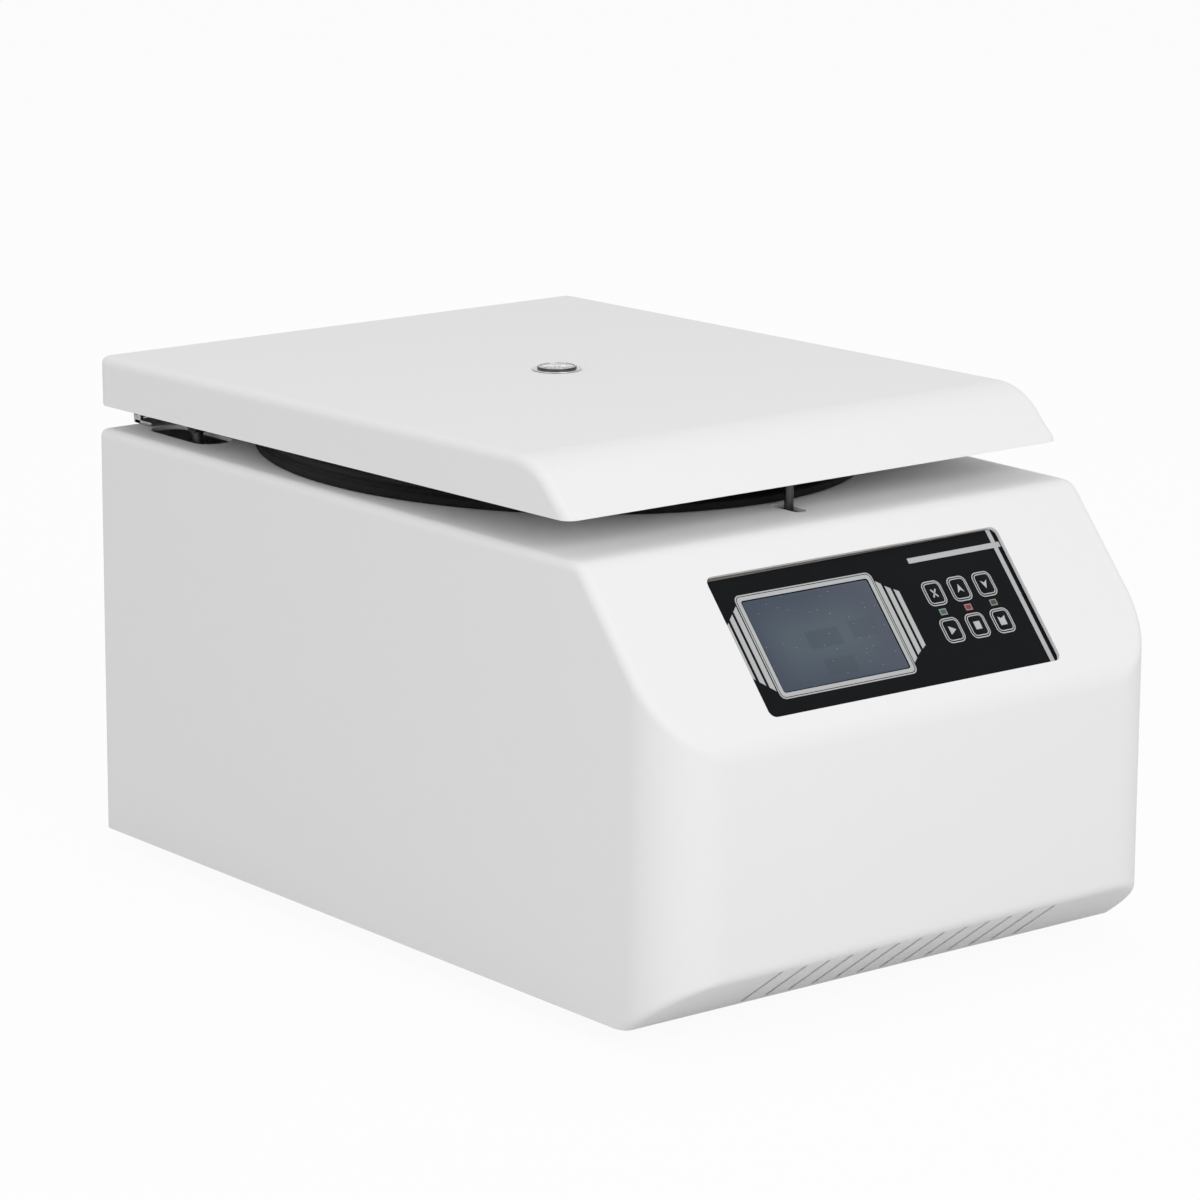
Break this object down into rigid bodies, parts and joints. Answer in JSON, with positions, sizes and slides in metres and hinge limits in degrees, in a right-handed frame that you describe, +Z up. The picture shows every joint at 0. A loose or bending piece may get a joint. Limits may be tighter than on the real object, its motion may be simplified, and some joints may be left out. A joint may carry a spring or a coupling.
{
  "type": "bench centrifuge",
  "caption": "White bench centrifuge with a sloping control panel, a gas-sprung hinged lid and a swing-out rotor in a steel chamber.",
  "frame": {"origin": "on the bench, under the middle of the machine's width and depth", "axes": "+X to the right as seen from the front, +Y to the rear, +Z up"},
  "size_m": [0.4, 0.603, 0.3412],
  "materials": {
    "white_paint": "satin powder coat",
    "steel_sheet": "plain steel",
    "stainless": "bright stainless",
    "zinc": "zinc plate",
    "black_rubber": "dull",
    "black_plastic": "moulded",
    "overlay_film": "satin film",
    "display_glass": "liquid crystal behind a clear cover",
    "clear_lens": "clear",
    "cast_aluminium": "machined casting",
    "motor_paint": "dark enamel",
    "circuit_green": "solder mask",
    "lamp_green": "tinted lens",
    "lamp_red": "tinted lens",
    "lamp_amber": "tinted lens"
  },
  "bodies": {
    "cabinet": {"housing": "white_paint", "base_plate": "steel_sheet", "rear_panel": "white_paint", "foot_front_left": "black_rubber", "foot_front_right": "black_rubber", "foot_rear_left": "black_rubber", "foot_rear_right": "black_rubber", "chamber_bowl": "stainless", "chamber_gasket": "black_rubber", "guard_ring": "steel_sheet", "shaft_boot": "black_rubber", "motor": "motor_paint", "motor_plate": "steel_sheet", "damper_1": "black_rubber", "damper_2": "black_rubber", "damper_3": "black_rubber", "control_overlay": "overlay_film", "display_module": "display_glass", "lamp_green": "lamp_green", "lamp_red": "lamp_red", "lamp_amber": "lamp_amber", "control_board": "circuit_green", "power_board": "circuit_green", "power_inlet": "black_plastic", "switch_frame": "black_plastic", "fan_frame": "black_plastic", "lock_body": "zinc", "hinge_bracket_left": "zinc", "hinge_bracket_right": "zinc", "hinge_pin_left": "steel_sheet", "hinge_pin_right": "steel_sheet", "strut_anchor_left": "zinc", "strut_anchor_right": "zinc"},
    "lid": {"lid_shell": "white_paint", "lid_inner_panel": "white_paint", "sight_bezel": "stainless", "sight_glass": "clear_lens", "striker": "steel_sheet", "lid_leaf_left": "zinc", "lid_leaf_right": "zinc"},
    "rotor": {"motor_shaft": "steel_sheet", "rotor_yoke": "cast_aluminium", "rotor_nut": "stainless"},
    "strut_cylinder_left": {"strut_cylinder_left": "motor_paint"},
    "strut_rod_left": {"strut_rod_left": "stainless"},
    "strut_cylinder_right": {"strut_cylinder_right": "motor_paint"},
    "strut_rod_right": {"strut_rod_right": "stainless"},
    "bucket_1": {"bucket_1": "cast_aluminium"},
    "bucket_2": {"bucket_2": "cast_aluminium"},
    "bucket_3": {"bucket_3": "cast_aluminium"},
    "bucket_4": {"bucket_4": "cast_aluminium"},
    "key_shift": {"key_shift": "overlay_film"},
    "key_up": {"key_up": "overlay_film"},
    "key_down": {"key_down": "overlay_film"},
    "key_start": {"key_start": "overlay_film"},
    "key_stop": {"key_stop": "overlay_film"},
    "key_open": {"key_open": "overlay_film"},
    "lock_bolt": {"lock_bolt": "steel_sheet"},
    "switch_rocker": {"switch_rocker": "black_plastic"},
    "fan_impeller": {"fan_impeller": "black_plastic"}
  },
  "joints": [
    {"name": "lid_hinge", "type": "hinge", "parent": "cabinet", "child": "lid", "pos_m": [0, 0.29549, 0.295], "axis": [-1, 0, 0], "range_deg": [-0.9, 69]},
    {"name": "strut_pivot_left", "type": "hinge", "parent": "lid", "child": "strut_cylinder_left", "pos_m": [-0.165, 0.23447, 0.29396], "axis": [-1, 0, 0], "range_deg": [-66, 2]},
    {"name": "strut_slide_left", "type": "slide", "parent": "strut_cylinder_left", "child": "strut_rod_left", "axis": [0, -0.188, -0.9822], "range_m": [-0.002, 0.07]},
    {"name": "strut_pivot_right", "type": "hinge", "parent": "lid", "child": "strut_cylinder_right", "pos_m": [0.165, 0.23447, 0.29396], "axis": [-1, 0, 0], "range_deg": [-66, 2]},
    {"name": "strut_slide_right", "type": "slide", "parent": "strut_cylinder_right", "child": "strut_rod_right", "axis": [0, -0.188, -0.9822], "range_m": [-0.002, 0.07]},
    {"name": "rotor_spin", "type": "hinge", "parent": "cabinet", "child": "rotor", "pos_m": [0, 0.06149, 0.217], "axis": [0, 0, 1], "continuous": true},
    {"name": "bucket_swing_1", "type": "hinge", "parent": "rotor", "child": "bucket_1", "pos_m": [0.088, 0.06149, 0.217], "axis": [0, -1, 0], "range_deg": [0, 90]},
    {"name": "bucket_swing_2", "type": "hinge", "parent": "rotor", "child": "bucket_2", "pos_m": [0, 0.14949, 0.217], "axis": [1, 0, 0], "range_deg": [0, 90]},
    {"name": "bucket_swing_3", "type": "hinge", "parent": "rotor", "child": "bucket_3", "pos_m": [-0.088, 0.06149, 0.217], "axis": [0, 1, 0], "range_deg": [0, 90]},
    {"name": "bucket_swing_4", "type": "hinge", "parent": "rotor", "child": "bucket_4", "pos_m": [0, -0.02651, 0.217], "axis": [-1, 0, 0], "range_deg": [0, 90]},
    {"name": "press_shift", "type": "slide", "parent": "cabinet", "child": "key_shift", "axis": [0, 0.7572, -0.6532], "range_m": [0, 0.0005], "stiffness_N_per_m": 400},
    {"name": "press_up", "type": "slide", "parent": "cabinet", "child": "key_up", "axis": [0, 0.7572, -0.6532], "range_m": [0, 0.0005], "stiffness_N_per_m": 400},
    {"name": "press_down", "type": "slide", "parent": "cabinet", "child": "key_down", "axis": [0, 0.7572, -0.6532], "range_m": [0, 0.0005], "stiffness_N_per_m": 400},
    {"name": "press_start", "type": "slide", "parent": "cabinet", "child": "key_start", "axis": [0, 0.7572, -0.6532], "range_m": [0, 0.0005], "stiffness_N_per_m": 400},
    {"name": "press_stop", "type": "slide", "parent": "cabinet", "child": "key_stop", "axis": [0, 0.7572, -0.6532], "range_m": [0, 0.0005], "stiffness_N_per_m": 400},
    {"name": "press_open", "type": "slide", "parent": "cabinet", "child": "key_open", "axis": [0, 0.7572, -0.6532], "range_m": [0, 0.0005], "stiffness_N_per_m": 400},
    {"name": "bolt_slide", "type": "slide", "parent": "cabinet", "child": "lock_bolt", "axis": [1, 0, 0], "range_m": [0, 0.01], "stiffness_N_per_m": 300},
    {"name": "switch_tilt", "type": "hinge", "parent": "cabinet", "child": "switch_rocker", "pos_m": [0.095, 0.29599, 0.122], "axis": [-1, 0, 0], "range_deg": [0, 16]},
    {"name": "fan_spin", "type": "hinge", "parent": "cabinet", "child": "fan_impeller", "pos_m": [-0.095, 0.27849, 0.102], "axis": [0, 1, 0], "continuous": true}
  ],
  "couplings": [
    {"joint": "strut_pivot_left", "follows": "lid_hinge", "ratio": -0.935},
    {"joint": "strut_slide_left", "follows": "lid_hinge", "m_per_rad": 0.05718},
    {"joint": "strut_pivot_right", "follows": "lid_hinge", "ratio": -0.935},
    {"joint": "strut_slide_right", "follows": "lid_hinge", "m_per_rad": 0.05718}
  ]
}
